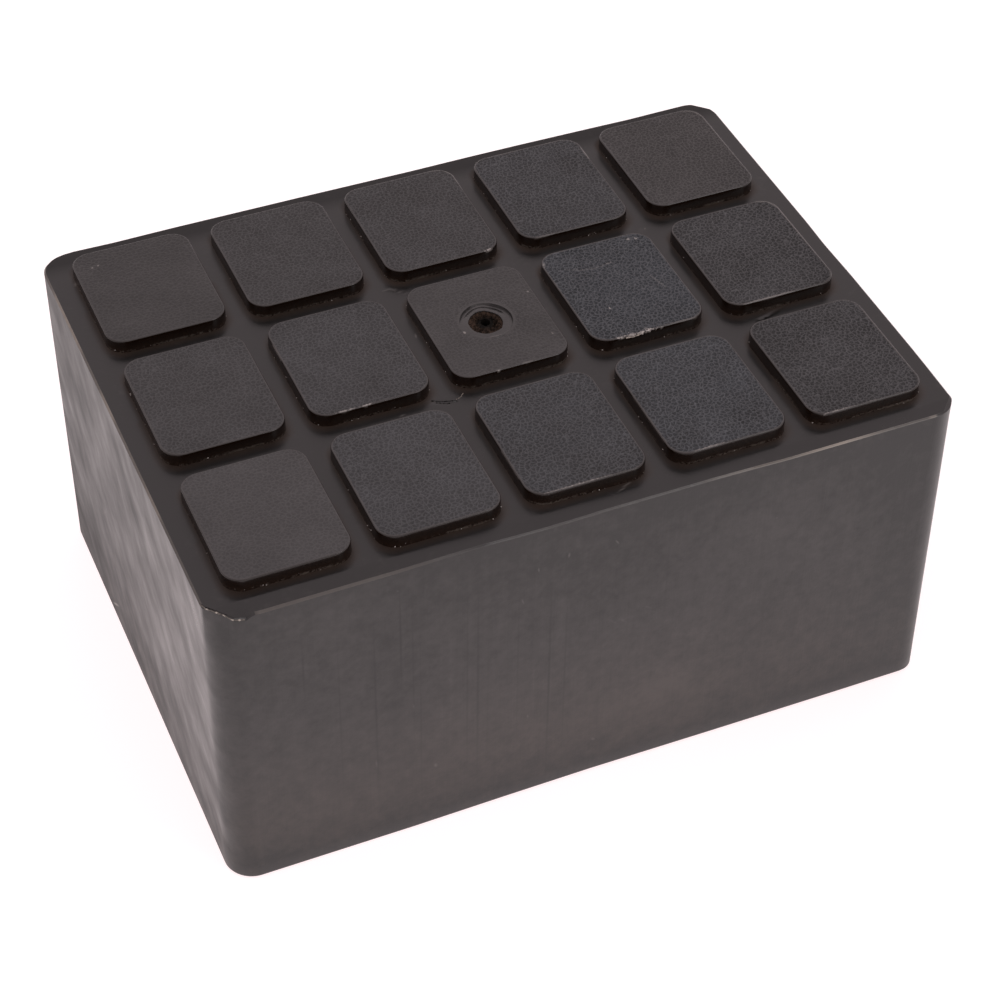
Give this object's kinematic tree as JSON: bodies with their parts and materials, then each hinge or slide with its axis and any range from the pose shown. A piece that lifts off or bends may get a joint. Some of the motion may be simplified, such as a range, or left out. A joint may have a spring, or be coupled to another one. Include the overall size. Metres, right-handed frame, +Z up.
{
  "type": "lift arm rubber block",
  "caption": "Solid black rubber block with rounded upright corners and a grid of raised grained pads on top, set between a vehicle lift's arm and the vehicle.",
  "frame": {"origin": "middle of the underside", "axes": "+X along the long side, +Y along the short side, +Z up through the raised pads"},
  "size_m": [0.16, 0.1174, 0.08],
  "materials": {
    "black_rubber": "moulded black rubber, satin on the land and sides, leather-like grain on the pad tops, light worn line round the top edge"
  },
  "bodies": {
    "root": {"rubber_block": "black_rubber"}
  },
  "joints": []
}
